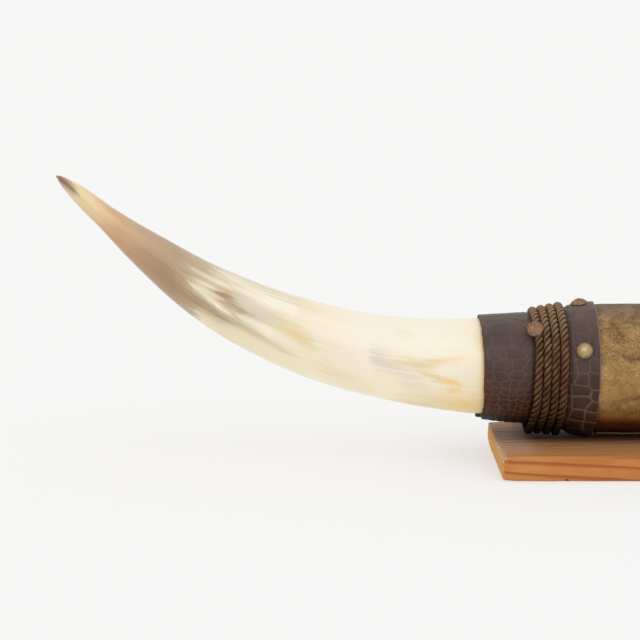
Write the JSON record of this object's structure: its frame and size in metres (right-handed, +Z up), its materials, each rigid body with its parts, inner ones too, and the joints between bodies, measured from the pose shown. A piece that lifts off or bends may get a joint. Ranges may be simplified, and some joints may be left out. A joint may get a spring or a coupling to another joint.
{
  "type": "pair of leather-wrapped steer horns",
  "caption": "Polished steer horns joined by a hide-wrapped middle with embossed leather cuffs, rope lashings and domed nail heads, standing on a short softwood board.",
  "frame": {"origin": "middle of the board's underside", "axes": "+X along the span, from the left horn's side to the right horn's tip; +Z up, out of the board's top; -Y towards the front, the side that the picture shows"},
  "size_m": [0.9898, 0.14, 0.2287],
  "materials": {
    "horn": "polished",
    "cuff_leather": "embossed, semi-gloss",
    "hide": "nubuck, matt",
    "rope": "twisted fibre, matt",
    "brass": "browned, hammered",
    "board": "weathered",
    "core_wood": "turned, bare",
    "screw": "zinc plated"
  },
  "bodies": {
    "root": {"base_board": "board", "center_core": "core_wood", "center_hide": "hide", "left_horn": "horn", "right_horn": "horn", "left_cuff": "cuff_leather", "right_cuff": "cuff_leather", "left_rope": "rope", "right_rope": "rope", "left_rope_stud": "brass", "left_front_stud": "brass", "left_top_stud": "brass", "left_back_stud": "brass", "right_rope_stud": "brass", "right_front_stud": "brass", "right_top_stud": "brass", "right_back_stud": "brass", "mounting_screw_1": "screw", "mounting_screw_2": "screw"}
  },
  "joints": []
}
